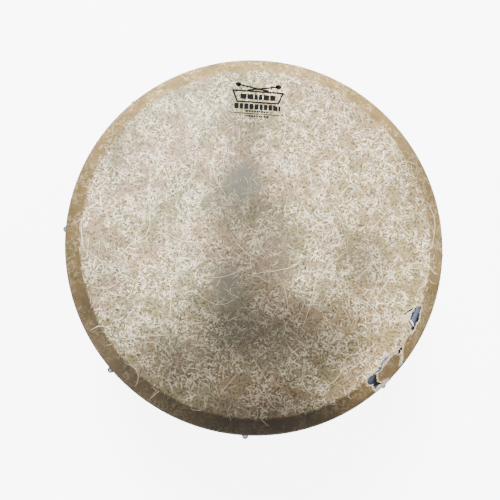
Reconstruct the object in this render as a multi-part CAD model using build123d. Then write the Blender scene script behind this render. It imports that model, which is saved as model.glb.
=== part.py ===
"""A 16 inch classroom kettledrum (hand-tuned timpani) with a fibre-film head.

Frame: +Z up along the drum's axis, origin on the floor under the middle of the kettle.
All sizes are in millimetres.  The film is folded over a rim hoop and held to it by a thin
black band.  Eight strap ears on the band carry tension rods, and a tuning nut under each
lug pulls its rod, and so the hoop, down.  Four strut tubes hold the kettle, each with a
telescoping leg and a thumb screw.  Everything below the head stands within its outline.
"""
from build123d import *
from math import cos, radians, sin, sqrt, tan
import os

# ---------------------------------------------------------------- driving dimensions
RIM_R = 203.0             # outside of the band round the head: 16 inches across
TOP_Z = 262.0             # upper face of the head above the floor, legs pushed in
FILM = 0.5                # film thickness
LUG_ANGLES = [41.5 + 45.0 * k for k in range(8)]    # degrees from +X
LEG_ANGLES = [64.0 + 90.0 * k for k in range(4)]    # each midway between two lugs
RUN = 0.1                 # radial clearance of a sliding or turning fit
SNUG = 0.05               # radial clearance of threads and of pieces fixed together

# bearing edge and the film's slope from it to the hoop
BEARING_R = 184.0         # circle that the film speaks from
CREST = 3.0               # rounding radius of the bearing edge
SLOPE = radians(30)       # slope of the film outside the bearing edge
EDGE_RING_IN_R = 178.4
EDGE_RING_OUT_R = 195.0
FILM_SPLIT_R = 191.0      # the film inside this circle stays on the kettle
SPLIT_GAP = 0.4           # parting between that film and the collar on the hoop

# kettle
BOWL_R = 182.0            # outside of the kettle's straight lip
BOWL_WALL = 1.6
LIP_Z = TOP_Z - 14.0      # top of the kettle's lip
CURVE_Z = TOP_Z - 40.0    # where the straight lip meets the elliptical bowl
BOWL_BOTTOM_Z = 50.0
VENT_R = 9.0

# rim hoop and its band
BAND = 1.3
HEAD_R = RIM_R - BAND     # outside of the folded film
HOOP_OUT_R = HEAD_R - FILM
HOOP_WALL = 4.0
HOOP_TALL = 25.0
HOOP_ROUND = 1.8          # rounding of the hoop's two top edges
BAND_DROP = 3.6           # the band starts this far below the hoop's top

# ears, rods, nuts and lugs
ROD_R = 2.0               # M4 tension rod
ROD_AXIS_R = RIM_R + 2.4
ROD_BOTTOM_Z = TOP_Z - 130.0
EAR_TOP_Z = TOP_Z - 26.0
EAR_TALL = 7.0
EAR_STRAP = 1.2
EAR_HALF_WIDE = 11.0
RIVET_R = 1.2
RIVET_Y = 7.6
RIVET_SEAT = 0.12         # lifts the rivet's flat seats clear of the round surfaces
LUG_TOP_Z = TOP_Z - 62.0
LUG_FACE_R = 184.5        # flat outer face of the lug's base
LUG_BOSS_R = 3.6
LUG_BOSS_TALL = 18.0
LUG_ARM_WIDE = 9.0
LUG_BOLT_Z = [LUG_TOP_Z + 5.0, LUG_TOP_Z - 27.0]
NUT_TOP_Z = LUG_TOP_Z - LUG_BOSS_TALL - RUN
NUT_TALL = 26.0
NUT_COLLAR_TALL = 2.4
NUT_HEX_R = 3.5           # 6 mm across flats, for a tuning key

# M5 bolts that hold the lugs and strut brackets to the kettle
BOLT_R = 2.5
BOLT_HEAD_R = 4.4
BOLT_HEAD_TALL = 4.4
SADDLE_R = 6.0
SADDLE_DEEP = 5.6         # flat face of the saddle washer, inward of the kettle's outside
HEX_R = 4.6
HEX_TALL = 4.0

# struts and legs
STRUT_AXIS_R = 187.5
STRUT_R = 6.5
STRUT_TOP_Z = TOP_Z - 66.0
BRACKET_FACE_R = 182.0
BRACKET_LOW_Z = 132.0
BRACKET_TALL = 54.0
CLAMP_TALL = 18.0         # each of the bracket's two rings round the strut
CLAMP_R = 10.0
STRUT_BOLT_Y = 18.0
STRUT_BOLTS_YZ = [(y, BRACKET_LOW_Z + up) for y in (-STRUT_BOLT_Y, STRUT_BOLT_Y) for up in (14, 44)]
COLLAR_LOW_Z = 30.4
COLLAR_TALL = 22.0
COLLAR_R = 10.5
COLLAR_BOSS_LONG = 17.0   # from the strut's axis
LEG_R = 5.0
LEG_WALL = 1.2
LEG_TOP_Z = 178.0
FOOT_TALL = 30.0
FOOT_R = 12.0
SCREW_R = 2.5             # M5 thumb screw
SCREW_Z = COLLAR_LOW_Z + 12.0

OUT = "parts"
STAND = (Align.CENTER, Align.CENTER, Align.MIN)


def save(node, *shapes):
    """Writes one node's solids to parts/NODE.step."""
    bodies = [solid for shape in shapes for solid in shape.solids()]
    export_step(bodies[0] if len(bodies) == 1 else Compound(children=bodies), f"{OUT}/{node}.step")


def ring_of(outline):
    """A ring turned about Z from a closed outline drawn as (distance from the axis, height)."""
    return revolve(make_face(Plane.XZ * outline), axis=Axis.Z)


def at_angle(degrees):
    """The placement that turns a piece modelled on +X to an angle round the drum."""
    return Rot(0, 0, degrees)


def upright(radius, low_z, high_z, x=0.0):
    """An upright cylinder between two heights."""
    return Pos(x, 0, low_z) * Cylinder(radius, high_z - low_z, align=STAND)


def outward(radius, low_x, high_x, y, z):
    """A cylinder pointing outward along +X between two distances from the axis."""
    return Pos(low_x, y, z) * Rot(0, 90, 0) * Cylinder(radius, high_x - low_x, align=STAND)


def block(low_x, high_x, wide, low_z, high_z):
    """A box between two distances from the axis, centred on y = 0."""
    size = (high_x - low_x, wide, high_z - low_z)
    return Pos(low_x, 0, low_z) * Box(*size, align=(Align.MIN, Align.CENTER, Align.MIN))


def hexagon(radius, low_x, high_x, y, z):
    """A hexagonal prism pointing outward along +X."""
    face = Plane((low_x, y, z), x_dir=(0, 1, 0), z_dir=(1, 0, 0)) * RegularPolygon(radius, 6)
    return extrude(face, high_x - low_x)


# ---------------------------------------------------------------- kettle
def bowl_radius(z):
    """Radius of the kettle's outside at a height on its elliptical part."""
    return BOWL_R * sqrt(1 - ((CURVE_Z - z) / (CURVE_Z - BOWL_BOTTOM_Z)) ** 2)


def bowl_fill(inset):
    """A solid of revolution that fills the kettle out to its outside less an inset."""
    radius, half_tall = BOWL_R - inset, CURVE_Z - BOWL_BOTTOM_Z - inset
    curve = EllipticalCenterArc((0, CURVE_Z), radius, half_tall, 270, arc_size=90)
    lip = Polyline((radius, CURVE_Z), (radius, LIP_Z), (0, LIP_Z), (0, BOWL_BOTTOM_Z + inset))
    return ring_of(curve + lip)


def wall_bolts():
    """Every bracket bolt as (angle, y, z, distance of the bracket's face from the axis)."""
    lugs = [(a, 0.0, z, LUG_FACE_R) for a in LUG_ANGLES for z in LUG_BOLT_Z]
    legs = [(a, y, z, BRACKET_FACE_R) for a in LEG_ANGLES for y, z in STRUT_BOLTS_YZ]
    return lugs + legs


def kettle():
    shell = bowl_fill(0) - bowl_fill(BOWL_WALL)
    shell -= upright(VENT_R, BOWL_BOTTOM_Z - 5, BOWL_BOTTOM_Z + 15)
    for angle, y, z, face_x in wall_bolts():
        shell -= at_angle(angle) * outward(BOLT_R + RUN, face_x - 50, face_x + 5, y, z)
    return shell


def bearing_edge_ring():
    """Cast ring on the kettle's lip: a rounded crest, then a flank that stays under the film."""
    crest = CenterArc((BEARING_R, TOP_Z - FILM - CREST), CREST, 40, 100)
    skirt_z, shelf_z = LIP_Z - 9, TOP_Z - 7.5
    rest = Polyline(
        crest @ 1,
        (EDGE_RING_IN_R, shelf_z),
        (EDGE_RING_IN_R, LIP_Z),
        (BOWL_R + SNUG, LIP_Z),
        (BOWL_R + SNUG, skirt_z),
        (EDGE_RING_OUT_R, skirt_z),
        (EDGE_RING_OUT_R, LIP_Z - 0.5),
        crest @ 0,
    )
    return ring_of(crest + rest)


def vent_grommet():
    """Rubber grommet lining the vent hole at the bottom of the kettle."""
    low_z, high_z = BOWL_BOTTOM_Z, BOWL_BOTTOM_Z + BOWL_WALL + 0.6
    flange_r, bore_r = VENT_R + 4, VENT_R - 3
    grommet = upright(VENT_R - SNUG, low_z, high_z)
    grommet += upright(flange_r, low_z - 3.2, low_z) + upright(flange_r, high_z, high_z + 2.6)
    return grommet - upright(bore_r, low_z - 5, high_z + 5)


# ---------------------------------------------------------------- head and rim hoop
def film_under(radius):
    """Height of the film's underside on its slope outside the bearing edge."""
    start_r = BEARING_R + CREST * sin(SLOPE)
    start_z = TOP_Z - FILM - CREST * (1 - cos(SLOPE))
    return start_z - (radius - start_r) * tan(SLOPE)


FILM_RISE = FILM / cos(SLOPE)                       # the film's thickness measured upright
FOLD_R = HOOP_OUT_R - HOOP_ROUND                    # centre of the film's fold over the hoop
FOLD_Z = film_under(FOLD_R + HOOP_ROUND * sin(SLOPE)) - HOOP_ROUND * cos(SLOPE)
HOOP_TOP_Z = FOLD_Z + HOOP_ROUND
HOOP_LOW_Z = HOOP_TOP_Z - HOOP_TALL
BAND_TOP_Z = HOOP_TOP_Z - BAND_DROP


def head_film():
    """The film from the middle, over the bearing edge and down the slope to the parting."""
    centre, turn = (BEARING_R, TOP_Z - FILM - CREST), -30
    over = CenterArc(centre, CREST + FILM, 90, turn)
    under = CenterArc(centre, CREST, 90, turn)
    end_z = film_under(FILM_SPLIT_R)
    middle = Polyline(under @ 0, (0, TOP_Z - FILM), (0, TOP_Z), over @ 0)
    edge = Polyline(over @ 1, (FILM_SPLIT_R, end_z + FILM_RISE), (FILM_SPLIT_R, end_z), under @ 1)
    return ring_of(over + edge + under + middle)


def head_collar():
    """The film on the hoop: the end of the slope, the fold and the skirt behind the band."""
    start_r, skirt_z = FILM_SPLIT_R + SPLIT_GAP, HOOP_LOW_Z + 2
    over = CenterArc((FOLD_R, FOLD_Z), HOOP_ROUND + FILM, 0, 60)
    under = CenterArc((FOLD_R, FOLD_Z), HOOP_ROUND, 0, 60)
    start_z = film_under(start_r)
    lip = Polyline(over @ 1, (start_r, start_z + FILM_RISE), (start_r, start_z), under @ 1)
    skirt = Polyline(under @ 0, (HOOP_OUT_R, skirt_z), (HEAD_R, skirt_z), over @ 0)
    return ring_of(over + lip + under + skirt)


def rim_hoop():
    in_r = HOOP_OUT_R - HOOP_WALL
    outer = CenterArc((FOLD_R, FOLD_Z), HOOP_ROUND, 0, 90)
    inner = CenterArc((in_r + HOOP_ROUND, FOLD_Z), HOOP_ROUND, 90, 90)
    foot = Polyline(inner @ 1, (in_r, HOOP_LOW_Z), (HOOP_OUT_R, HOOP_LOW_Z), outer @ 0)
    return ring_of(outer + Line(outer @ 1, inner @ 0) + inner + foot)


def rim_band():
    """Thin band that clamps the film's skirt to the hoop."""
    tall = BAND_TOP_Z - HOOP_LOW_Z
    return upright(RIM_R, HOOP_LOW_Z, BAND_TOP_Z) - Pos(0, 0, HOOP_LOW_Z) * Cylinder(
        HEAD_R, 3 * tall
    )


# ---------------------------------------------------------------- ears and rods on the hoop
def hoop_ear():
    """Strap bent round the rod's head end, with a riveted wing on each side."""
    low_z = EAR_TOP_Z - EAR_TALL
    back_r = RIM_R + SNUG
    wings = upright(back_r + EAR_STRAP, low_z, EAR_TOP_Z) - upright(back_r, low_z, EAR_TOP_Z)
    wings &= block(back_r - 2, back_r + EAR_STRAP, 2 * EAR_HALF_WIDE, low_z, EAR_TOP_Z)
    loop_r = ROD_R + SNUG + EAR_STRAP
    loop = upright(loop_r, low_z, EAR_TOP_Z, ROD_AXIS_R)
    loop += block(back_r - 1, ROD_AXIS_R, 2 * loop_r, low_z, EAR_TOP_Z) - upright(back_r, low_z, EAR_TOP_Z)
    ear = wings + loop - upright(back_r, low_z, EAR_TOP_Z)
    bore = upright(ROD_R + SNUG, low_z - 1, EAR_TOP_Z + 1, ROD_AXIS_R)
    mouth = block(back_r - 2, ROD_AXIS_R, 2 * (ROD_R + SNUG), low_z - 1, EAR_TOP_Z + 1)
    ear -= bore + mouth
    for y in (-RIVET_Y, RIVET_Y):
        ear -= rivet_hole(y)
    return ear


def rivet_hole(y):
    z = EAR_TOP_Z - EAR_TALL / 2
    return outward(RIVET_R + SNUG, HOOP_OUT_R - HOOP_WALL - 3, RIM_R + 5, y, z)


def ear_rivet(y):
    """Rivet through the ear's wing, the band, the film and the hoop."""
    z = EAR_TOP_Z - EAR_TALL / 2
    head_x = sqrt((RIM_R + SNUG + EAR_STRAP) ** 2 - y ** 2) + RIVET_SEAT
    tail_x = sqrt((HOOP_OUT_R - HOOP_WALL) ** 2 - y ** 2) - RIVET_SEAT
    dome = outward(2.1, head_x, head_x + 1.0, y, z)
    dome = fillet(dome.edges().sort_by(Axis.X)[-1], 0.8)
    tail = outward(1.9, tail_x - 0.7, tail_x, y, z)
    return outward(RIVET_R, tail_x - 0.3, head_x + 0.3, y, z) + dome + tail


def tension_rod():
    """M4 rod, peened in the ear's loop and chamfered at its threaded end."""
    shank = upright(ROD_R, ROD_BOTTOM_Z, EAR_TOP_Z + 1.0, ROD_AXIS_R)
    shank = fillet(shank.edges().sort_by(Axis.Z)[-1], 0.9)
    return chamfer(shank.edges().sort_by(Axis.Z)[0], 0.6)


# ---------------------------------------------------------------- tuning nuts and lugs
def tuning_nut():
    """Long nut under the lug: a round collar, a hexagon for the key and a slim tail."""
    x, low_z = ROD_AXIS_R, NUT_TOP_Z - NUT_TALL
    collar = upright(NUT_HEX_R, NUT_TOP_Z - NUT_COLLAR_TALL, NUT_TOP_Z, x)
    hexagon_face = Plane((x, 0, low_z + 3)) * RegularPolygon(NUT_HEX_R, 6)
    nut = collar + extrude(hexagon_face, NUT_TALL - NUT_COLLAR_TALL - 3)
    nut += upright(3.0, low_z, low_z + 3, x)
    return nut - upright(ROD_R + SNUG, low_z - 1, NUT_TOP_Z + 1, x)


def lug_bracket(kettle_body):
    """Cast lug: a base that fits the kettle's wall, a tapering arm and a boss for the rod."""
    boss_low = LUG_TOP_Z - LUG_BOSS_TALL
    base = block(168, LUG_FACE_R, 20, LUG_BOLT_Z[1] - 9, LUG_BOLT_Z[0] + 9)
    base = fillet(base.edges().filter_by(Axis.X), 6)
    arm_top, arm_low = LUG_TOP_Z - 1, boss_low - 4
    side = Polyline(
        (176, arm_top), (ROD_AXIS_R, arm_top), (ROD_AXIS_R, boss_low + 5),
        (LUG_FACE_R, arm_low), (176, arm_low), (176, arm_top),
    )
    arm = extrude(make_face(Plane.XZ * side), LUG_ARM_WIDE / 2, both=True)
    arm -= block(ROD_AXIS_R - LUG_BOSS_R, RIM_R + 10, LUG_ARM_WIDE + 2, boss_low - 9, LUG_TOP_Z + 9)
    boss = upright(LUG_BOSS_R, boss_low, LUG_TOP_Z, ROD_AXIS_R)
    web = block(ROD_AXIS_R - LUG_BOSS_R - 0.5, ROD_AXIS_R, 2 * LUG_BOSS_R, boss_low + 2, arm_top)
    lug = base + arm + web + chamfer(boss.edges().sort_by(Axis.Z)[-1], 0.5) - kettle_body
    lug -= upright(ROD_R + RUN, boss_low - 1, LUG_TOP_Z + 1, ROD_AXIS_R)
    for z in LUG_BOLT_Z:
        lug -= outward(BOLT_R + RUN, 160, 190, 0, z)
    return lug


# ---------------------------------------------------------------- bracket bolts and nuts
def wall_x(y, z):
    """Distance along +X to the kettle's outside on the line of a bolt."""
    return sqrt(bowl_radius(z) ** 2 - y ** 2)


def bracket_bolt(y, z, face_x):
    """Socket cap bolt from a bracket's face through the kettle's wall."""
    shank = outward(BOLT_R, wall_x(y, z) - SADDLE_DEEP - HEX_TALL - 1.5, face_x + 0.5, y, z)
    head = outward(BOLT_HEAD_R, face_x, face_x + BOLT_HEAD_TALL, y, z)
    head = fillet(head.edges().sort_by(Axis.X)[-1], 1.0)
    return shank + head - hexagon(2.4, face_x + 2.2, face_x + 6, y, z)


def bracket_nut(y, z, inside):
    """Saddle washer that fits the kettle's inside, and a hexagon nut on its flat face."""
    flat_x = wall_x(y, z) - SADDLE_DEEP
    saddle = outward(SADDLE_R, flat_x, flat_x + SADDLE_DEEP, y, z) & inside
    nut = saddle + hexagon(HEX_R, flat_x - HEX_TALL, flat_x + 0.1, y, z)
    return nut - outward(BOLT_R + SNUG, flat_x - HEX_TALL - 5, flat_x + 15, y, z)


# ---------------------------------------------------------------- struts and legs
def sideways(radius, low_y, high_y):
    """A level cylinder through the strut's axis at the screw's height, along the rim (+Y)."""
    turn = Rot(-90, 0, 0)
    return Pos(STRUT_AXIS_R, low_y, SCREW_Z) * turn * Cylinder(radius, high_y - low_y, align=STAND)


def strut_tube():
    """Fixed tube, open at the foot, with a cross hole for the thumb screw."""
    tube = upright(STRUT_R, COLLAR_LOW_Z, STRUT_TOP_Z, STRUT_AXIS_R)
    tube -= upright(LEG_R + RUN, COLLAR_LOW_Z - 1, STRUT_TOP_Z + 1, STRUT_AXIS_R)
    return tube - sideways(SCREW_R + RUN, 0, 2 * STRUT_R)


def strut_cap():
    """Domed plug in the top of the strut tube."""
    plug = upright(LEG_R + SNUG, STRUT_TOP_Z - 8, STRUT_TOP_Z, STRUT_AXIS_R)
    dome = upright(STRUT_R, STRUT_TOP_Z, STRUT_TOP_Z + 4, STRUT_AXIS_R)
    return plug + fillet(dome.edges().sort_by(Axis.Z)[-1], 3)


def strut_bracket(kettle_body):
    """Cast bracket: a wide foot that fits the kettle and two rings round the strut tube."""
    high_z = BRACKET_LOW_Z + BRACKET_TALL
    foot = block(140, BRACKET_FACE_R, 2 * STRUT_BOLT_Y + 16, BRACKET_LOW_Z, high_z)
    bracket = fillet(foot.edges().filter_by(Axis.X), 7)
    for low_z in (BRACKET_LOW_Z, high_z - CLAMP_TALL):
        bracket += upright(CLAMP_R, low_z, low_z + CLAMP_TALL, STRUT_AXIS_R)
        bracket += block(160, STRUT_AXIS_R, 16, low_z, low_z + CLAMP_TALL)
    bracket -= kettle_body
    bracket -= upright(STRUT_R + SNUG, BRACKET_LOW_Z - 5, high_z + 5, STRUT_AXIS_R)
    for y, z in STRUT_BOLTS_YZ:
        bracket -= outward(BOLT_R + RUN, 130, 190, y, z)
    return bracket


def leg_collar():
    """Clamp collar on the foot of the strut tube, with a threaded boss facing along the rim."""
    high_z = COLLAR_LOW_Z + COLLAR_TALL
    ring = upright(COLLAR_R, COLLAR_LOW_Z, high_z, STRUT_AXIS_R)
    ring = chamfer(ring.edges().filter_by(GeomType.CIRCLE), 1.2)
    collar = ring + sideways(6.5, 0, COLLAR_BOSS_LONG)
    collar -= upright(STRUT_R + SNUG, COLLAR_LOW_Z - 1, high_z + 1, STRUT_AXIS_R)
    return collar - sideways(SCREW_R + SNUG, 0, COLLAR_BOSS_LONG + 5)


def thumb_screw():
    """M5 thumb screw with a five-lobed knob."""
    knob_y, knob_long = COLLAR_BOSS_LONG + 1.5, 9.0
    screw = sideways(SCREW_R, LEG_R + SNUG, knob_y + 2)
    screw += sideways(7.5, knob_y, knob_y + knob_long)
    for k in range(5):
        turn = radians(90 + 72 * k)
        lobe = sideways(3.8, knob_y, knob_y + knob_long)
        screw += Pos(7.0 * cos(turn), 0, 7.0 * sin(turn)) * lobe
    return screw


def leg_rod():
    """Sliding inner leg, a tube closed by the foot."""
    leg = upright(LEG_R, 8, LEG_TOP_Z, STRUT_AXIS_R)
    return leg - upright(LEG_R - LEG_WALL, 14, LEG_TOP_Z + 1, STRUT_AXIS_R)


def rubber_foot():
    """Ribbed rubber ferrule under the leg."""
    tread_tall, neck_r = 5.0, 8.0
    body = Pos(STRUT_AXIS_R, 0, tread_tall) * Cone(FOOT_R, neck_r, FOOT_TALL - tread_tall, align=STAND)
    tread = upright(FOOT_R, 0, tread_tall, STRUT_AXIS_R)
    foot = body + chamfer(tread.edges().sort_by(Axis.Z)[0], 1.0)
    for z in (11, 17, 23):
        groove = upright(2 * FOOT_R, z, z + 1.4, STRUT_AXIS_R)
        foot -= groove - upright(neck_r, z, z + 1.4, STRUT_AXIS_R)
    return foot - upright(LEG_R + SNUG, 8, FOOT_TALL + 1, STRUT_AXIS_R)


# ---------------------------------------------------------------- assembly
def write_head():
    """Film, hoop and band, with the ears' rivet holes, and the ears, rivets and rods."""
    hoop, collar, band = rim_hoop(), head_collar(), rim_band()
    for angle in LUG_ANGLES:
        for y in (-RIVET_Y, RIVET_Y):
            hole = at_angle(angle) * rivet_hole(y)
            hoop, collar, band = hoop - hole, collar - hole, band - hole
    save("head_film", head_film())
    save("head_collar", collar)
    save("rim_hoop", hoop)
    save("rim_band", band)
    ear, rod, rivets = hoop_ear(), tension_rod(), [ear_rivet(-RIVET_Y), ear_rivet(RIVET_Y)]
    for k, angle in enumerate(LUG_ANGLES, start=1):
        save(f"hoop_ear_{k}", at_angle(angle) * ear)
    save("tension_rods", *[at_angle(a) * rod for a in LUG_ANGLES])
    save("ear_rivets", *[at_angle(a) * r for a in LUG_ANGLES for r in rivets])


def write_kettle():
    """Kettle, its edge ring and vent grommet, and the lugs with their tuning nuts and bolts."""
    body, inside = bowl_fill(0), bowl_fill(BOWL_WALL + SNUG)
    save("kettle_bowl", kettle())
    save("bearing_edge_ring", bearing_edge_ring())
    save("vent_grommet", vent_grommet())
    lug, nut = lug_bracket(body), tuning_nut()
    for k, angle in enumerate(LUG_ANGLES, start=1):
        save(f"lug_bracket_{k}", at_angle(angle) * lug)
        save(f"tuning_nut_{k}", at_angle(angle) * nut)
    bolts = [at_angle(a) * bracket_bolt(y, z, x) for a, y, z, x in wall_bolts()]
    nuts = [at_angle(a) * bracket_nut(y, z, inside) for a, y, z, _ in wall_bolts()]
    save("bracket_bolts", *bolts)
    save("bracket_nuts", *nuts)
    return body


def write_legs(body):
    """Struts, brackets, collars, thumb screws, sliding legs and feet."""
    pieces = {
        "strut_tube": strut_tube(), "strut_bracket": strut_bracket(body),
        "leg_collar": leg_collar(), "thumb_screw": thumb_screw(),
        "leg_rod": leg_rod(), "rubber_foot": rubber_foot(),
    }
    for k, angle in enumerate(LEG_ANGLES, start=1):
        for name, piece in pieces.items():
            save(f"{name}_{k}", at_angle(angle) * piece)
    cap = strut_cap()
    save("strut_caps", *[at_angle(a) * cap for a in LEG_ANGLES])


os.makedirs(OUT, exist_ok=True)
write_head()
write_legs(write_kettle())
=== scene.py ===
"""Looks of a 16 inch kettledrum with a torn fibre-film head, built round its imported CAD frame.

Lengths are in metres, and MM turns millimetres into metres.  Angles round the drum are in
degrees from +X.  The drum's axis is Z, and the head's top face lies at TOP_Z.
"""

import math
import random

import bmesh
import bpy
import numpy as np
from mathutils import Matrix, Vector
from mathutils.geometry import delaunay_2d_cdt


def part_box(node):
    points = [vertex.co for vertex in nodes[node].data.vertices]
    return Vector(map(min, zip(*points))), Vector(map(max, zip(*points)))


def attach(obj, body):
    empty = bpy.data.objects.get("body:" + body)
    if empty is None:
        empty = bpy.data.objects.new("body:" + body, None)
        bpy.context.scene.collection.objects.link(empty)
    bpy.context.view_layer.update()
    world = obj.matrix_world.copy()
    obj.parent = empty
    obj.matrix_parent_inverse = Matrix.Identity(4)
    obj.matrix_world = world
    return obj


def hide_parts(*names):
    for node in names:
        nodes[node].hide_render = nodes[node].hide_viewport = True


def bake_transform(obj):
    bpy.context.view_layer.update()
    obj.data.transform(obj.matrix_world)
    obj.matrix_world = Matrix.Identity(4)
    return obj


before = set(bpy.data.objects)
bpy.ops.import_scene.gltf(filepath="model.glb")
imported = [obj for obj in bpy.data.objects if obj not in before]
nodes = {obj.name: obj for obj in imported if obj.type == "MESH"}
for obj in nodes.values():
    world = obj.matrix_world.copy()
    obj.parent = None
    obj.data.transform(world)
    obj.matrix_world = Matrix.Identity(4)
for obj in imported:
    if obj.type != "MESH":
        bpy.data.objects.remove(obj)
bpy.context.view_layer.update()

MM = 0.001
TOP_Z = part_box("head_film")[1][2]
HOOP_TOP_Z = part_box("rim_hoop")[1][2]
BAND_TOP_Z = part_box("rim_band")[1][2]
HEAD_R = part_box("head_collar")[1][0]
BEARING_R = 184 * MM
FILM_THICK = 0.4 * MM
CREST = 3.5 * MM                     # rounding of the film's top face over the bearing edge
SLOPE = math.radians(30)             # how steeply the film falls from the bearing edge to the hoop
FOLD = 2.3 * MM                      # rounding of the film's top face over the hoop
FOLD_R = HEAD_R - FOLD
FOLD_Z = HOOP_TOP_Z - 1.8 * MM
SLOPE_END_R = FOLD_R + FOLD * math.sin(SLOPE)
SECTORS = 720                        # steps round the head's fold and skirt


def linear(*levels):
    """An sRGB colour, 0 to 255, as the linear RGBA that shaders take."""
    parts = [v / 255 for v in levels]
    return tuple(p / 12.92 if p <= 0.04045 else ((p + 0.055) / 1.055) ** 2.4 for p in parts) + (1.0,)


def polar(radius, degrees):
    return Vector((radius * math.cos(math.radians(degrees)), radius * math.sin(math.radians(degrees))))


def film_height(radius):
    """Height of the head's top face: flat, rolled over the bearing edge, then sloping."""
    roll_end = BEARING_R + CREST * math.sin(SLOPE)
    if radius <= BEARING_R:
        return TOP_Z
    if radius <= roll_end:
        return TOP_Z - CREST + math.sqrt(CREST ** 2 - (radius - BEARING_R) ** 2)
    return TOP_Z - CREST * (1 - math.cos(SLOPE)) - (radius - roll_end) * math.tan(SLOPE)


# ------------------------------------------------------------------ camera, lights and floor
def place_camera():
    """Looks down on the head from 8.3 degrees off its axis, from the side at 240 degrees."""
    distance, tilt, heading = 0.65, math.radians(8.3), math.radians(240)
    aim = Vector((-9.4 * MM, -11.5 * MM, TOP_Z))
    back = Vector((math.sin(tilt) * math.cos(heading), math.sin(tilt) * math.sin(heading), math.cos(tilt)))
    right = Vector((0, 1, 0)).cross(back).normalized()
    up = back.cross(right)
    data = bpy.data.cameras.new("camera")
    camera = bpy.data.objects.new("camera", data)
    bpy.context.collection.objects.link(camera)
    camera.matrix_world = Matrix((right, up, back)).transposed().to_4x4()
    camera.location = aim + back * distance
    seen_across = 524 * MM
    data.sensor_width = 36
    data.lens = data.sensor_width * distance / seen_across
    bpy.context.scene.camera = camera


def area_light(name, location, target, size, power, colour=(1, 1, 1)):
    data = bpy.data.lights.new(name, "AREA")
    data.shape, data.size, data.energy, data.color = "DISK", size, power, colour
    light = bpy.data.objects.new(name, data)
    bpy.context.collection.objects.link(light)
    light.location = location
    light.rotation_euler = (Vector(target) - Vector(location)).to_track_quat("-Z", "Y").to_euler()


def studio():
    area_light("key", (-0.35, 1.25, 2.2), (0, 0.0, 0.2), 0.8, 135)
    area_light("fill", (1.4, 0.3, 1.9), (0, 0, 0.1), 1.5, 26)
    area_light("low_fill", (-1.7, -1.2, 0.8), (0, 0, 0.1), 1.3, 16)
    world = bpy.data.worlds.new("world")
    world.use_nodes = True
    world.node_tree.nodes["Background"].inputs["Color"].default_value = (1, 1, 1, 1)
    world.node_tree.nodes["Background"].inputs["Strength"].default_value = 0.9
    bpy.context.scene.world = world
    bpy.ops.mesh.primitive_plane_add(size=30, location=(0, 0, 0))
    floor = bpy.context.object
    floor.name = "floor"
    floor.data.materials.append(floor_material())


# ------------------------------------------------------------------ shaders
class Shader:
    """A material's node tree, built by calls that return sockets."""

    def __init__(self, name):
        self.material = bpy.data.materials.new(name)
        self.material.use_nodes = True
        self.tree = self.material.node_tree
        self.surface = self.tree.nodes["Principled BSDF"]
        self.here = self.node("ShaderNodeTexCoord").outputs["Object"]

    def node(self, kind, **settings):
        made = self.tree.nodes.new(kind)
        for key, value in settings.items():
            setattr(made, key, value)
        return made

    def feed(self, socket, value):
        if isinstance(value, bpy.types.NodeSocket):
            self.tree.links.new(value, socket)
        else:
            socket.default_value = value

    def maths(self, operation, *values):
        made = self.node("ShaderNodeMath", operation=operation)
        for socket, value in zip(made.inputs, values):
            self.feed(socket, value)
        return made.outputs[0]

    def joined(self, operation, values):
        """All the values joined into one, from the first to the last."""
        whole = values[0]
        for value in values[1:]:
            whole = self.maths(operation, whole, value)
        return whole

    def vector(self, operation, *values):
        made = self.node("ShaderNodeVectorMath", operation=operation)
        for socket, value in zip(made.inputs, values):
            self.feed(socket, value)
        return made.outputs["Value" if operation in ("LENGTH", "DISTANCE") else "Vector"]

    def noise(self, scale, detail=2.0, place=None, rough=0.5, out="Fac"):
        made = self.node("ShaderNodeTexNoise")
        self.feed(made.inputs["Vector"], place or self.here)
        for name, value in (("Scale", scale), ("Detail", detail), ("Roughness", rough)):
            self.feed(made.inputs[name], value)
        return made.outputs[out]

    def warped(self, scale, amount):
        """The surface's place, pushed about by up to the amount by soft noise."""
        push = self.vector("SUBTRACT", self.noise(scale, 1.0, out="Color"), (0.5, 0.5, 0.5))
        return self.vector("ADD", self.here, self.vector("MULTIPLY", push, (2 * amount,) * 3))

    def turned(self, place, degrees, scales):
        """A place turned about Z and then stretched."""
        spin = self.node("ShaderNodeVectorRotate", rotation_type="Z_AXIS")
        self.feed(spin.inputs["Vector"], place)
        spin.inputs["Angle"].default_value = math.radians(degrees)
        return self.vector("MULTIPLY", spin.outputs[0], scales)

    def step(self, value, low, high, to_low=0.0, to_high=1.0):
        made = self.node("ShaderNodeMapRange", interpolation_type="SMOOTHSTEP")
        for socket, number in zip(made.inputs, (value, low, high, to_low, to_high)):
            self.feed(socket, number)
        return made.outputs[0]

    def mix(self, factor, first, second, blend="MIX"):
        """Two colours mixed; the numbers are the node's own places for its colour sockets."""
        made = self.node("ShaderNodeMix", data_type="RGBA", blend_type=blend)
        self.feed(made.inputs["Factor"], factor)
        self.feed(made.inputs[6], first)
        self.feed(made.inputs[7], second)
        return made.outputs[2]

    def split(self, place):
        made = self.node("ShaderNodeSeparateXYZ")
        self.feed(made.inputs[0], place)
        return made.outputs

    def attribute(self, name):
        return self.node("ShaderNodeAttribute", attribute_name=name).outputs["Fac"]

    def bump(self, height, depth):
        made = self.node("ShaderNodeBump")
        self.feed(made.inputs["Height"], height)
        made.inputs["Distance"].default_value = depth
        self.feed(self.surface.inputs["Normal"], made.outputs[0])

    def finish(self, colour, roughness, **constants):
        """Feeds the surface; the constants are set on its own sockets."""
        self.feed(self.surface.inputs["Base Color"], colour)
        self.feed(self.surface.inputs["Roughness"], roughness)
        for name, value in constants.items():
            self.surface.inputs[name.replace("_", " ")].default_value = value
        return self.material


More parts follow.
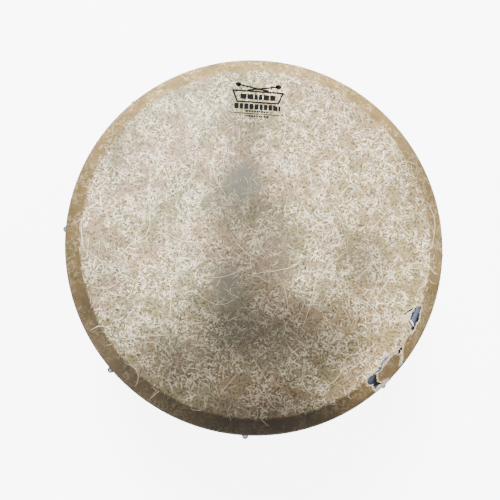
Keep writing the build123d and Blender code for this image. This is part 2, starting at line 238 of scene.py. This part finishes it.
def floor_material():
    """A white sweep; its glow is for the camera only and adds no light to the drum."""
    s = Shader("studio_floor")
    shade = s.mix(s.noise(3.0, 2.0), (0.93, 0.93, 0.93, 1), (0.96, 0.96, 0.96, 1))
    seen = s.node("ShaderNodeLightPath").outputs["Is Camera Ray"]
    s.feed(s.surface.inputs["Emission Strength"], s.maths("MULTIPLY", seen, 6.0))
    return s.finish(shade, 0.9, Specular_IOR_Level=0.1)


# Places on the head, in mm: (x, y) of the middle, half widths along x and y, strength
GREY_PLACES = [
    (-20, 61, 24, 27, 1.0), (-34, -48, 20, 30, 0.9), (114, -24, 24, 30, 0.3), (-86, -118, 26, 20, 0.3),
    (96, 136, 24, 22, 0.2), (-44, 42, 20, 14, 0.5), (20, -14, 26, 40, 0.3),
]
# The same for the dark places, partly real stains and partly painted shade, the broad darkening from the
# middle down towards -y; here the strength is in halvings of the light
DARK_PLACES = [
    (-15, 48, 46, 44, 0.9), (-10, 0, 56, 60, 1.0), (-14, -70, 62, 62, 1.4), (0, -128, 104, 72, 2.3),
    (4, -192, 124, 34, 2.0), (-104, -140, 52, 46, 1.3), (-160, -70, 34, 70, 0.6), (104, -22, 40, 44, 0.8),
    (76, -92, 48, 46, 0.9), (-12, 112, 30, 44, 0.7), (-150, 92, 34, 50, 0.3), (172, 60, 26, 60, 0.4),
]


def soft_place(s, place, x, y, half_x, half_y, strength):
    """A smooth spot: its strength in the middle, falling to nothing round its edge."""
    offset = s.vector("MULTIPLY", s.vector("SUBTRACT", place, (x * MM, y * MM, TOP_Z)),
                      (1 / (half_x * MM), 1 / (half_y * MM), 0))
    return s.step(s.vector("LENGTH", offset), 0.3, 1.3, strength, 0.0)


def stains_and_painted_shade(s, tone, extra=None):
    """A tone darkened towards brown by the dark places, partly stains and partly painted shade, and by the
    extra depth, which is painted shade.
    """
    place = s.warped(14, 11 * MM)
    depths = [] if extra is None else [extra]
    depths += [soft_place(s, place, *spot) for spot in DARK_PLACES]
    # Stains and painted shade, summed as halvings of the light
    left = s.maths("POWER", 0.5, s.joined("ADD", depths))
    made = s.node("ShaderNodeCombineColor")
    for socket, power in zip(made.inputs, (0.97, 1.0, 1.07)):
        s.feed(socket, s.maths("POWER", left, power))
    return s.mix(1.0, tone, made.outputs[0], "MULTIPLY")


def streaks(s, place, count, long_scale, wide_scale, low, high):
    """Thin streaks in many directions: noise stretched long and narrow, its peaks kept."""
    kept = []
    for k in range(count):
        fine = s.noise(1.0, 1.0, s.turned(place, 180 / count * k + 11, (long_scale, wide_scale, 1)))
        kept.append(s.step(fine, low, high))
    return s.joined("MAXIMUM", kept)


def film_material():
    """Calfskin-look film: cast-in fibres over mottled beige, an olive rim, old stains, and painted shade
    down the middle towards -y and on the sloping rim.
    """
    s = Shader("fibre_film")
    place = s.warped(46, 4 * MM)
    x, y, _ = s.split(s.here)
    radius = s.vector("LENGTH", s.vector("MULTIPLY", s.here, (1, 1, 0)))
    mottle = s.noise(18, 4.0, place, 0.6)
    tone = s.mix(s.step(mottle, 0.4, 0.6), linear(140, 130, 94), linear(162, 133, 102))
    tone = s.mix(s.step(s.noise(60, 3.0), 0.45, 0.7, 0.0, 0.7), tone, linear(142, 130, 84))
    tone = s.mix(s.step(x, -60 * MM, 170 * MM, 0.0, 0.6), tone, linear(154, 128, 76))
    grey_place = s.warped(70, 8 * MM)
    grey = s.joined("MAXIMUM", [soft_place(s, grey_place, *spot) for spot in GREY_PLACES])
    tone = s.mix(grey, tone, linear(118, 115, 98))
    clear = s.maths("SUBTRACT", 1.0, s.maths("MULTIPLY", grey, 0.85))
    speck = s.noise(480, 1.0, place, 0.6)
    pit = s.maths("MULTIPLY", s.step(speck, 0.36, 0.52, 0.85, 0.0), clear)
    tone = s.mix(pit, tone, linear(62, 51, 29))
    coarse = streaks(s, place, 7, 120, 540, 0.645, 0.71)
    dots = s.step(s.noise(500, 1.0, s.warped(80, 3 * MM)), 0.59, 0.67)
    clump = s.step(s.noise(52, 3.0, place, 0.65), 0.4, 0.58, 0.1, 1.0)
    fibres = s.maths("MULTIPLY", s.maths("MAXIMUM", coarse, dots), clump)
    fibres = s.maths("MULTIPLY", fibres, clear)
    tone = s.mix(s.maths("MULTIPLY", fibres, 0.95), tone, linear(255, 243, 212))
    rim = s.step(s.maths("ADD", radius, s.maths("MULTIPLY", mottle, 4 * MM)), 184.5 * MM, 189 * MM)
    olive = s.mix(s.step(s.noise(50, 3.0, place), 0.35, 0.65), linear(126, 108, 58), linear(158, 126, 80))
    olive = s.mix(s.maths("MULTIPLY", fibres, 0.6), olive, linear(222, 200, 150))
    tone = s.mix(s.maths("MULTIPLY", rim, 0.85), tone, olive)
    # Painted shade on the sloping rim, deepest towards -y and towards +x; it joins the dark places' stains
    # and painted shade
    lower = s.step(s.maths("ADD", s.maths("MULTIPLY", x, 0.55), y), -215 * MM, 130 * MM, 1.7, 0.0)
    side = s.step(x, 60 * MM, 200 * MM, 0.0, 0.7)
    shade = s.maths("MULTIPLY", rim, s.maths("ADD", lower, side))
    tone = stains_and_painted_shade(s, tone, shade)
    # Cream at the torn edges; over the upper hole's flap the cream is partly the torn film's colour and
    # partly painted light on the sunk flap
    tone = s.mix(s.attribute("torn"), tone, linear(214, 190, 152))
    relief = s.maths("ADD", fibres, s.maths("MULTIPLY", speck, 0.5))
    s.bump(relief, 0.1 * MM)
    rough = s.step(s.noise(30, 2.0), 0.3, 0.7, 0.42, 0.58)
    return s.finish(tone, rough, Specular_IOR_Level=0.3)


def strand_material():
    """Cream fibre, darkened by the same stains and painted shade as the film it lies on."""
    s = Shader("cream_fibre")
    tone = s.mix(s.step(s.noise(90, 2.0), 0.35, 0.65), linear(226, 208, 168), linear(255, 248, 226))
    return s.finish(stains_and_painted_shade(s, tone), s.step(s.noise(600, 1.0), 0.3, 0.7, 0.4, 0.6))


def ink_material():
    """Black printing ink, matt and a little worn."""
    s = Shader("printed_ink")
    worn = s.step(s.noise(900, 3.0), 0.62, 0.75)
    tone = s.mix(s.maths("MULTIPLY", worn, 0.4), linear(7, 6, 6), linear(70, 62, 50))
    return s.finish(tone, s.step(worn, 0, 1, 0.6, 0.8), Specular_IOR_Level=0.08)


def copper_material():
    """Spun and lacquered copper: fine lines round the axis with a painted sheen along them, warm patina
    and finger marks.
    """
    s = Shader("spun_copper")
    x, y, z = s.split(s.here)
    around = s.maths("ARCTAN2", y, x)
    lines = s.node("ShaderNodeCombineXYZ")
    s.feed(lines.inputs[0], s.maths("MULTIPLY", around, 1.2))
    s.feed(lines.inputs[2], s.maths("MULTIPLY", z, 900.0))
    spun = s.noise(1.0, 4.0, lines.outputs[0], 0.6)
    cloud = s.noise(14, 4.0, s.warped(9, 0.03), 0.6)
    tone = s.mix(s.step(cloud, 0.35, 0.7), linear(200, 114, 68), linear(152, 76, 42))
    # Lighter copper along the spun lines: a painted sheen
    tone = s.mix(s.step(spun, 0.4, 0.75, 0, 0.35), tone, linear(224, 152, 104))
    old = s.step(s.noise(55, 5.0, s.here, 0.65), 0.58, 0.72)
    tone = s.mix(s.maths("MULTIPLY", old, 0.45), tone, linear(92, 54, 36))
    rough = s.maths("ADD", s.step(cloud, 0.3, 0.7, 0.2, 0.34), s.maths("MULTIPLY", old, 0.14))
    s.bump(spun, 0.03 * MM)
    return s.finish(tone, rough, Metallic=1.0, Coat_Weight=0.35, Coat_Roughness=0.12)


def metal_material(name, light, dark, rough_low, rough_high, grain, depth, metallic=1.0, **constants):
    """A bare or plated metal with clouded tone, fine grain and faint scratches."""
    s = Shader(name)
    cloud = s.noise(38, 4.0, None, 0.6)
    fine = s.noise(grain, 3.0)
    scratch = streaks(s, s.here, 3, 60, 2600, 0.66, 0.74)
    tone = s.mix(s.step(cloud, 0.35, 0.68), light, dark)
    base_rough = s.step(fine, 0.3, 0.7, rough_low, rough_high)
    rough = s.maths("ADD", base_rough, s.maths("MULTIPLY", scratch, 0.12))
    s.bump(s.maths("SUBTRACT", fine, s.maths("MULTIPLY", scratch, 0.6)), depth)
    return s.finish(tone, rough, Metallic=metallic, **constants)


def coat_material(name, light, dark, rough_low, rough_high, grain, depth, dust=0.0, **constants):
    """Paint, powder coat, rubber or plastic: a grained skin with rubbed and dusty places."""
    s = Shader(name)
    fine = s.noise(grain, 2.0)
    worn = s.step(s.noise(70, 5.0, None, 0.65), 0.6, 0.74)
    tone = s.mix(s.step(s.noise(30, 3.0), 0.35, 0.65), dark, light)
    tone = s.mix(s.maths("MULTIPLY", worn, dust), tone, linear(150, 142, 128))
    rough = s.maths("ADD", s.step(fine, 0.3, 0.7, rough_low, rough_high), s.maths("MULTIPLY", worn, 0.1))
    s.bump(fine, depth)
    return s.finish(tone, rough, **constants)


def dress_cad():
    """Gives every CAD node that stays its material."""
    copper = copper_material()
    casting = metal_material(
        "cast_aluminium", linear(72, 80, 98), linear(54, 58, 76), 0.4, 0.6, 700, 0.06 * MM, 0.25)
    satin = metal_material(
        "satin_aluminium", linear(190, 192, 196), linear(160, 163, 170), 0.3, 0.45, 1500, 0.02 * MM)
    chrome = metal_material(
        "chrome_plate", linear(214, 216, 220), linear(186, 189, 196), 0.07, 0.16, 500, 0.004 * MM)
    zinc = metal_material(
        "zinc_plate", linear(186, 184, 172), linear(150, 150, 146), 0.26, 0.42, 1200, 0.015 * MM)
    enamel = coat_material(
        "black_enamel", linear(14, 14, 15), linear(8, 8, 9), 0.4, 0.55, 260, 0.01 * MM, 0.04)
    powder = coat_material(
        "black_powder_coat", linear(40, 40, 42), linear(24, 24, 26), 0.42, 0.6, 1400, 0.05 * MM, 0.06)
    rubber = coat_material(
        "moulded_rubber", linear(42, 41, 40), linear(28, 28, 28), 0.7, 0.88, 900, 0.04 * MM, 0.3)
    nylon = coat_material(
        "black_nylon", linear(38, 38, 40), linear(26, 26, 28), 0.45, 0.6, 2200, 0.03 * MM, 0.08)
    finishes = {
        "kettle_bowl": copper, "bearing_edge_ring": casting, "rim_hoop": satin, "rim_band": enamel,
        "hoop_ear": enamel, "ear_rivets": zinc, "tension_rods": chrome, "tuning_nut": chrome,
        "lug_bracket": powder, "strut_bracket": powder, "leg_collar": powder,
        "bracket_bolts": zinc, "bracket_nuts": zinc, "strut_tube": chrome, "leg_rod": chrome,
        "strut_caps": nylon, "thumb_screw": nylon, "rubber_foot": rubber, "vent_grommet": rubber,
    }
    for name, item in nodes.items():
        family = name.rstrip("0123456789").rstrip("_")
        if family in finishes:
            item.data.materials.clear()
            item.data.materials.append(finishes[family])


# ------------------------------------------------------------------ the torn head
# Outlines on the head as (distance from the axis in mm, angle)
UPPER_HOLE = [
    (178.6, -24.2), (182.1, -22.2), (186.7, -21.9), (187.4, -24.0), (190.3, -26.2), (189.2, -27.8),
    (189.9, -29.7), (189.0, -30.9), (186.1, -30.8), (182.7, -29.3), (179.6, -28.6),
]
SMALL_HOLE = [(187.4, -36.2), (185.2, -38.6), (186.6, -39.6), (189.8, -39.1), (190.6, -37.2)]
LOWER_HOLE = [
    (183.6, -49.0), (182.9, -52.4), (188.8, -53.3), (192.7, -51.8), (196.4, -52.3), (200.2, -52.0),
    (200.2, -46.6), (198.6, -47.6), (197.4, -49.2), (194.0, -49.9), (189.7, -49.5), (186.2, -48.8),
]
# Cracks: their middle line, and half widths in mm at both ends
FLAP_CRACK = ([(168.8, -30.2), (170.8, -27.6), (174.4, -25.8), (179.2, -23.8)], 0.45, 1.7)
THIN_CRACK = ([(188.8, -30.6), (185.9, -32.1), (186.1, -34.1), (187.6, -36.5)], 0.5, 0.35)
SIDE_CRACK = ([(190.4, -37.8), (193.0, -38.4), (196.6, -39.8), (200.2, -41.2)], 0.5, 0.9)
EDGE_CRACK = (
    [(185.8, -38.8), (183.3, -39.5), (182.5, -41.4), (181.0, -43.8), (182.9, -46.1), (184.3, -49.2)],
    0.7, 1.3)
# Pairs of angles that the fold over the hoop is torn away between
FOLD_TEARS = [(-52.2, -46.4), (-41.7, -40.9)]
# The upper hole's flap of film, which has sunk a little
FLAP = [(169.0, -30.1), (171.2, -27.2), (178.6, -24.2), (179.8, -28.6), (174.7, -29.5)]
FLAP_DROP = 0.7 * MM
# The strip of film outside the edge crack, which is turned out over the hoop: its angles, the
# angles where its turn would fall to nothing, and its inner radius
TURNED_SPAN = (-49.4, -38.2)
TURNED_ENDS = (-49.9, -37.7)
TURNED_FROM = 182 * MM
# Where all of the tears are, and how many points are added there so the film is finely divided
TORN_SPAN = (-55, -20)
TORN_FROM = 164 * MM
TORN_POINTS = 900
STRAND_END_R = 199 * MM              # strands that reach this far, or this far near a tear, stop
TORN_STRAND_END_R = 172 * MM


def ragged(points, step, jag, rng):
    """A closed outline in metres: straight runs cut into steps, each step pushed about."""
    corners = [polar(r * MM, a) for r, a in points]
    line = []
    for here, there in zip(corners, corners[1:] + corners[:1]):
        count = max(1, round((there - here).length / step))
        for k in range(count):
            shake = Vector((rng.uniform(-jag, jag), rng.uniform(-jag, jag))) if k else Vector((0, 0))
            line.append(here.lerp(there, k / count) + shake)
    return line


def crack_outline(crack, rng):
    """A narrow closed outline round a crack's middle line."""
    points, start, end = crack
    line = []
    corners = [polar(r * MM, a) for r, a in points]
    for k, (here, there) in enumerate(zip(corners, corners[1:])):
        count = max(2, round((there - here).length / (1.1 * MM)))
        side = (there - here).normalized().orthogonal()
        last = k == len(corners) - 2
        for i in range(count + last):
            along = (k + i / count) / (len(corners) - 1)
            line.append((here.lerp(there, i / count), side, (start + (end - start) * along) * MM))
    left = [p + side * wide * rng.uniform(0.5, 1.5) for p, side, wide in line]
    right = [p - side * wide * rng.uniform(0.5, 1.5) for p, side, wide in line]
    return left + right[::-1]


def inside(points, outline):
    """For an array of plan points, whether each lies inside a closed outline."""
    found = np.zeros(len(points), bool)
    x, y = points[:, 0], points[:, 1]
    for a, b in zip(outline, outline[1:] + outline[:1]):
        crosses = (a.y > y) != (b.y > y)
        rise = (b.y - a.y) or 1e-12
        found ^= crosses & (x < (b.x - a.x) * (y - a.y) / rise + a.x)
    return found


def plan_points():
    """Rings of points over the flat and sloping parts of the head, the outermost ring last."""
    rings = [(k * 8 * MM, max(6, round(2 * math.pi * k))) for k in range(1, 22)]
    rings += [(r * MM, 360) for r in (173, 177, 180, 182.5)]
    rings += [(r * MM, SECTORS) for r in (184, 184.6, 185.2, 185.75, 188, 191, 194, 197, 198.8)]
    points = [Vector((0, 0))]
    for radius, count in rings:
        points += [polar(radius, 360 / count * k) for k in range(count)]
    return points


def angle_of(point):
    return math.degrees(math.atan2(point.y, point.x))


def near_tear(point):
    return TORN_SPAN[0] < angle_of(point) < TORN_SPAN[1] and point.length > TORN_FROM


def flap_lift(point, height):
    """Where a point of the film has moved to, if it is in the strip turned out over the hoop."""
    angle, radius = angle_of(point), point.length
    if not (TURNED_SPAN[0] < angle < TURNED_SPAN[1] and radius > TURNED_FROM):
        return point, height
    far = max(0.0, min(1.0, (SLOPE_END_R - radius) / (12 * MM)))
    ends = min(1.0, (angle - TURNED_ENDS[0]) / 1.5, (TURNED_ENDS[1] - angle) / 1.5)
    turn = math.radians(3.5 + 1.5 * math.sin(angle * 1.7)) * (0.3 + 0.7 * far) * max(0.0, ends)
    hinge_r, hinge_z = HEAD_R - 1 * MM, FOLD_Z
    dr, dz = radius - hinge_r, height - hinge_z
    radius = hinge_r + dr * math.cos(turn) + dz * math.sin(turn)
    height = hinge_z - dr * math.sin(turn) + dz * math.cos(turn)
    return point.normalized() * radius, height


def torn_head(tears):
    """The head as one mesh: the film in plan with its tears cut out, its fold and its skirt."""
    rng = random.Random(7)
    corners, edges = plan_points(), []
    for _ in range(TORN_POINTS):
        corners.append(polar(rng.uniform(166, 197.5) * MM, rng.uniform(-54.5, -20.5)))
    first = len(corners)
    corners += [polar(SLOPE_END_R, 360 / SECTORS * k) for k in range(SECTORS)]
    edges += [(first + k, first + (k + 1) % SECTORS) for k in range(SECTORS)]
    for outline in tears:
        start = len(corners)
        corners += outline
        edges += [(start + k, start + (k + 1) % len(outline)) for k in range(len(outline))]
    flat, _, faces, *_ = delaunay_2d_cdt(corners, edges, [], 0, 1e-6)
    plan = np.array([(p.x, p.y) for p in flat])
    middles = np.array([plan[list(f)].mean(axis=0) for f in faces])
    gone = np.hypot(middles[:, 0], middles[:, 1]) > SLOPE_END_R
    for outline in tears:
        gone |= inside(middles, outline)
    mesh = bmesh.new()
    made = []
    for p in flat:
        place, height = flap_lift(p, film_height(p.length))
        made.append(mesh.verts.new((place.x, place.y, height)))
    for face, lost in zip(faces, gone):
        if not lost:
            mesh.faces.new([made[i] for i in face])
    add_fold(mesh, flat, made)
    for vert in [v for v in mesh.verts if not v.link_faces]:
        mesh.verts.remove(vert)
    return mesh


def add_fold(mesh, flat, made):
    """The film's fold over the hoop and its skirt down behind the band."""
    rim = {}
    for p, vert in zip(flat, made):
        if abs(p.length - SLOPE_END_R) < 1e-6:
            turn = angle_of(p) % 360 * SECTORS / 360
            if abs(turn - round(turn)) < 1e-3:
                rim[round(turn) % SECTORS] = vert
    profile = [(FOLD_R + FOLD * math.sin(t), FOLD_Z + FOLD * math.cos(t))
               for t in np.radians([38, 50, 63, 76, 90])]
    profile += [(HEAD_R, z) for z in np.linspace(FOLD_Z - 1.5 * MM, BAND_TOP_Z - 2 * MM, 3)]
    rows = [rim]
    for radius, height in profile:
        row = {}
        for k in range(SECTORS):
            p = polar(radius, 360 / SECTORS * k)
            row[k] = mesh.verts.new((p.x, p.y, height))
        rows.append(row)
    for upper, lower in zip(rows, rows[1:]):
        for k in range(SECTORS):
            after = (k + 1) % SECTORS
            angle = (k + 0.5) * 360 / SECTORS - 360
            torn = any(low < angle < high for low, high in FOLD_TEARS)
            if not torn and k in upper and after in upper:
                mesh.faces.new((upper[k], lower[k], lower[after], upper[after]))


def torn_amount(mesh, tears):
    """Stores how near each vertex is to a tear, for the shader, and sinks the upper hole's flap; the flap
    also gets a high value, so its cream tint is partly painted light.
    """
    layer = mesh.verts.layers.float.new("torn")
    ends = np.array([(p.x, p.y) for outline in tears for p in outline])
    flap = [polar(r * MM, a) for r, a in FLAP]
    for vert in mesh.verts:
        if near_tear(Vector(vert.co[:2])):
            gap = np.hypot(ends[:, 0] - vert.co.x, ends[:, 1] - vert.co.y).min()
            vert[layer] = max(0.0, 1 - gap / (1.4 * MM))
            # The flap gets the cream tint too: partly painted light on the sunk flap
            if inside(np.array([vert.co[:2]]), flap)[0]:
                vert[layer] = max(vert[layer], 0.75)
                vert.co.z -= FLAP_DROP * min(1.0, gap / (3 * MM))


def build_head(film):
    """The torn head, stretched from the kettle's bearing edge over the hoop; returns the outlines of its
    tears.
    """
    rng = random.Random(3)
    holes = [ragged(h, 1.6 * MM, 0.35 * MM, rng) for h in (UPPER_HOLE, SMALL_HOLE, LOWER_HOLE)]
    cracks = [crack_outline(c, rng) for c in (FLAP_CRACK, THIN_CRACK, SIDE_CRACK, EDGE_CRACK)]
    tears = holes + cracks
    mesh = torn_head(tears)
    torn_amount(mesh, tears)
    bmesh.ops.recalc_face_normals(mesh, faces=mesh.faces)
    if sum(f.normal.z for f in mesh.faces) < 0:
        bmesh.ops.reverse_faces(mesh, faces=mesh.faces)
    head = finish_mesh("drum_head", mesh, film)
    solid = head.modifiers.new("thickness", "SOLIDIFY")
    solid.thickness, solid.offset = FILM_THICK, -1
    apply_modifiers(head)
    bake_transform(head)
    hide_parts("head_film", "head_collar")
    return tears


def finish_mesh(name, mesh, material, smooth=True):
    data = bpy.data.meshes.new(name)
    mesh.to_mesh(data)
    mesh.free()
    item = bpy.data.objects.new(name, data)
    bpy.context.collection.objects.link(item)
    data.materials.append(material)
    for face in data.polygons:
        face.use_smooth = smooth
    return item


def apply_modifiers(item):
    """Turns the object's modified shape into its own mesh."""
    shape = item.evaluated_get(bpy.context.evaluated_depsgraph_get())
    old, item.data = item.data, bpy.data.meshes.new_from_object(shape)
    item.modifiers.clear()
    item.data.name = old.name


# ------------------------------------------------------------------ strands of fibre
def add_strand(mesh, path, wide, tall):
    """A closed, tapered four-sided strand along a path of 3-D points."""
    last = len(path) - 1
    rows = []
    for k, point in enumerate(path):
        ahead = (path[min(k + 1, last)] - path[max(k - 1, 0)]).normalized()
        side = ahead.cross(Vector((0, 0, 1))).normalized()
        size = 0.25 + 0.75 * math.sin(math.pi * k / last) ** 0.5 if 0 < k < last else 0.25
        up = side.cross(ahead)
        around = (side * wide, up * tall, side * -wide, up * -tall)
        rows.append([mesh.verts.new(point + offset * (0.5 * size)) for offset in around])
    for a, b in zip(rows, rows[1:]):
        for i in range(4):
            mesh.faces.new((a[i], b[i], b[(i + 1) % 4], a[(i + 1) % 4]))
    mesh.faces.new(rows[0])
    mesh.faces.new(rows[-1][::-1])


def wander(rng, start, heading, length, step, bend):
    """A curving path over the head, with its points on the film's top face."""
    path, point, curl = [], Vector(start), rng.gauss(0, bend)
    for _ in range(max(3, round(length / step))):
        reach = point.length
        if reach > STRAND_END_R or (near_tear(point) and reach > TORN_STRAND_END_R):
            break
        path.append(Vector((point.x, point.y, film_height(reach) + 0.02 * MM)))
        heading += curl + rng.gauss(0, bend)
        point = point + Vector((math.cos(heading), math.sin(heading))) * step
    return path


def curved(points, count):
    """A smooth path through three plan points given in mm."""
    a, b, c = [Vector(p) * MM for p in points]
    middle = 2 * b - (a + c) / 2
    path = []
    for k in range(count + 1):
        t = k / count
        p = a * (1 - t) ** 2 + middle * (2 * t * (1 - t)) + c * t ** 2
        path.append(Vector((p.x, p.y, film_height(p.length) + 0.03 * MM)))
    return path


# Long strands that stand out, each through three plan points in mm
LONG_STRANDS = [
    ((-47, 85), (-46, 66), (-31, 42)), ((-115, 78), (-115, 50), (-124, 24)),
    ((148, 112), (147, 96), (154, 83)), ((113, 0), (128, 20), (147, 39)),
    ((42, -100), (56, -60), (64, -17)), ((-122, 36), (-96, 44), (-66, 70)),
    ((-132, 130), (-116, 137), (-92, 138)), ((-53, -66), (-46, -82), (-32, -98)),
    ((62, -16), (80, -2), (104, 4)), ((-160, 18), (-140, 24), (-118, 26)),
    ((28, 138), (29, 120), (24, 104)), ((-96, 6), (-70, -4), (-44, 4)),
    ((86, 66), (104, 60), (118, 44)), ((-20, 22), (-6, 6), (-4, -14)),
    ((-140, -36), (-118, -30), (-92, -34)), ((100, -60), (122, -74), (128, -92)),
    ((-66, 34), (-50, 52), (-34, 56)), ((14, -32), (26, -50), (30, -74)),
]
SHORT_STRANDS = 1500
LONE_EVERY = 22                      # one strand in this many is longer and wider
CURLED_SCRAP = ((159, -84), (161.5, -87), (163.5, -91))      # plan points in mm
FOLD_SCRAPS = 14


def over_mark(point):
    """Whether a strand that starts here would lie over the printed mark."""
    return abs(point.x - MARK_AT.x) < 31 * MM and -20 * MM < point.y - MARK_AT.y < 22 * MM


def build_strands(material):
    """Strands lying on the head: the long ones that stand out, and many short random ones."""
    rng = random.Random(11)
    mesh = bmesh.new()
    for points in LONG_STRANDS:
        add_strand(mesh, curved(points, 24), 0.75 * MM, 0.3 * MM)
    for k in range(SHORT_STRANDS):
        reach, angle = 187 * MM * math.sqrt(rng.random()), rng.uniform(0, 360)
        start = polar(reach, angle)
        lone = k % LONE_EVERY == 0
        if over_mark(start):
            continue
        length = rng.uniform(25, 60) * MM if lone else rng.uniform(4, 17) * MM
        wide = rng.uniform(0.7, 1.1) * MM if lone else rng.uniform(0.35, 0.7) * MM
        path = wander(rng, start, rng.uniform(0, 2 * math.pi), length, 2.2 * MM, 0.08 if lone else 0.14)
        if len(path) > 2:
            add_strand(mesh, path, wide, rng.uniform(0.12, 0.24) * MM)
    strands = finish_mesh("head_fibres", mesh, material)
    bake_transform(strands)


def build_fray(tears, material):
    """Loose fibres that stand out of the torn edges, a curled scrap, and scraps of the fold."""
    rng = random.Random(5)
    mesh = bmesh.new()
    for outline in tears:
        middle = sum(outline, Vector((0, 0))) / len(outline)
        for point in outline:
            if point.length > SLOPE_END_R - 1 * MM:
                continue
            for _ in range(3):
                heading = math.atan2(*(middle - point).yx) + rng.gauss(0, 0.9)
                reach, rise = rng.uniform(0.8, 2.8) * MM, rng.uniform(-0.1, 0.6) * MM
                ahead = Vector((math.cos(heading), math.sin(heading), 0))
                place, height = flap_lift(point, film_height(point.length))
                base = Vector((place.x, place.y, height - 0.15 * MM)) - ahead * 0.8 * MM
                tip = base + ahead * reach + Vector((0, 0, rise))
                bow = Vector((0, 0, 0.25 * MM))
                add_strand(mesh, [base, base.lerp(tip, 0.5) + bow, tip], 0.3 * MM, 0.2 * MM)
    add_strand(mesh, curved(CURLED_SCRAP, 12), 2.2 * MM, 0.5 * MM)
    for k in range(FOLD_SCRAPS):
        angle = FOLD_TEARS[0][0] + 0.45 * k + rng.uniform(-0.2, 0.2)
        path = [polar(r * MM, angle + rng.uniform(-0.5, 0.5)).to_3d() for r in (200.2, 202.2, 203.9)]
        for point, drop in zip(path, (0.4, 1.0, rng.uniform(1, 4))):
            point.z = FOLD_Z - drop * MM
        add_strand(mesh, path, rng.uniform(0.6, 1.5) * MM, 0.3 * MM)
    fray = finish_mesh("torn_edge_fibres", mesh, material)
    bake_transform(fray)


# ------------------------------------------------------------------ the printed mark
MARK_AT = Vector((-1.0 * MM, 151 * MM))
MARK_TURN = math.radians(-2.6)
# Rows of plain bars, in mm: the middle's height, the row's width and height, the longest bar
MARK_ROWS = ((4.3, 38, 6.0, 6.6), (-6.7, 50, 6.2, 5.4), (-11.9, 26, 2.0, 3.0), (-17.2, 26, 2.0, 3.0))


def print_shape(mesh, outer, inner=None):
    """A printed patch: a closed, very thin slab of an outline, with an optional hole."""
    low, high = TOP_Z - 0.1 * MM, TOP_Z + 0.05 * MM
    turn = Matrix.Rotation(MARK_TURN, 2)

    def row(points, z):
        placed = [turn @ Vector(p) * MM + MARK_AT for p in points]
        return [mesh.verts.new((p.x, p.y, z)) for p in placed]

    count = len(outer)
    top, bottom = row(outer, high), row(outer, low)
    walls = [(top, bottom)]
    if inner:
        hole_top, hole_bottom = row(inner, high), row(inner, low)
        walls.append((hole_bottom, hole_top))
        for k in range(count):
            j = (k + 1) % count
            mesh.faces.new((top[k], top[j], hole_top[j], hole_top[k]))
            mesh.faces.new((bottom[j], bottom[k], hole_bottom[k], hole_bottom[j]))
    else:
        mesh.faces.new(top)
        mesh.faces.new(bottom[::-1])
    for upper, lower in walls:
        for k in range(count):
            j = (k + 1) % count
            mesh.faces.new((upper[k], lower[k], lower[j], upper[j]))


def oval(x, y, half_wide, half_tall, count):
    turns = [2 * math.pi * k / count for k in range(count)]
    return [(x + half_wide * math.cos(t), y + half_tall * math.sin(t)) for t in turns]


def bar(x, y, wide, tall, slant=0.0):
    """A level bar's four corners, or a slanted one's."""
    turn = Matrix.Rotation(math.radians(slant), 2)
    corners = [(-wide / 2, -tall / 2), (wide / 2, -tall / 2), (wide / 2, tall / 2), (-wide / 2, tall / 2)]
    return [tuple(turn @ Vector(c) + Vector((x, y))) for c in corners]


def build_mark(material):
    """A plain generic mark: a kettle under two crossed mallets, and rows of plain bars."""
    rng = random.Random(2)
    mesh = bmesh.new()
    print_shape(mesh, [(-28.5, 11.4), (-23, -2.6), (23, -2.6), (28.5, 11.4)],
                [(-25.8, 9.5), (-21.7, -0.7), (21.7, -0.7), (25.8, 9.5)])
    for side in (-1, 1):
        print_shape(mesh, bar(5 * side, 14.4, 34, 1.8, 10 * side))
        print_shape(mesh, oval(22 * side, 17.3, 3.2, 2.5, 24))
    for y, wide, tall, longest in MARK_ROWS:
        left = -wide / 2
        while left < wide / 2 - 1:
            long = min(rng.uniform(0.55, 1.0) * longest, wide / 2 - left)
            print_shape(mesh, bar(left + long / 2, y, long, tall))
            left += long + 0.12 * tall + 0.4
    print_shape(mesh, bar(0, -14.6, 57, 1.0))
    mark = finish_mesh("printed_mark", mesh, material, smooth=False)
    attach(mark, "kettle")


# ------------------------------------------------------------------ making it
place_camera()
studio()
dress_cad()
film = film_material()
strand = strand_material()
tears = build_head(film)
build_strands(strand)
build_fray(tears, strand)
build_mark(ink_material())
